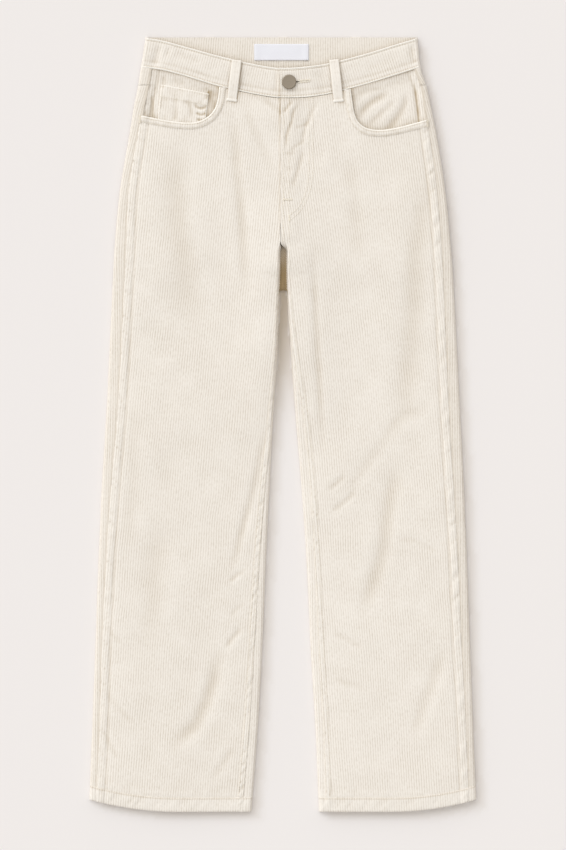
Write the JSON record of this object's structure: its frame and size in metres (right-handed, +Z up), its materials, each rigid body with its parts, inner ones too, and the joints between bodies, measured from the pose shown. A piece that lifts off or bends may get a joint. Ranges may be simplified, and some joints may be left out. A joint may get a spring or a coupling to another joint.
{
  "type": "corduroy trousers",
  "caption": "Straight wide-leg five-pocket corduroy trousers with a buttoned waistband, lying flat on their back.",
  "frame": {"origin": "centre of the laid garment's box, on the surface it lies on", "axes": "+Y from the hems to the waist, +X to the wearer's left, +Z up out of the front of the garment"},
  "size_m": [0.5312, 1.063, 0.015],
  "materials": {
    "corduroy": "cream cotton corduroy, eight wales to the inch, soft cut pile",
    "zip_tape": "woven cotton tape",
    "zip_metal": "satin brass",
    "label_cloth": "white woven tape, blank",
    "button_metal": "dull brushed grey-brown metal"
  },
  "bodies": {
    "root": {"front_panel_right": "corduroy", "front_panel_left": "corduroy", "back_panel_right": "corduroy", "back_panel_left": "corduroy", "back_yoke_right": "corduroy", "back_yoke_left": "corduroy", "hem_right": "corduroy", "hem_left": "corduroy", "waistband": "corduroy", "pocket_facing_right": "corduroy", "pocket_facing_left": "corduroy", "pocket_edge_right": "corduroy", "pocket_edge_left": "corduroy", "coin_pocket": "corduroy", "back_pocket_right": "corduroy", "back_pocket_left": "corduroy", "belt_loop_front_right": "corduroy", "belt_loop_front_left": "corduroy", "belt_loop_back_right": "corduroy", "belt_loop_back_left": "corduroy", "belt_loop_back_centre": "corduroy", "fly_shield": "corduroy", "zip_tape": "zip_tape", "zip_slider": "zip_metal", "woven_label": "label_cloth", "shank_button": "button_metal"}
  },
  "joints": []
}
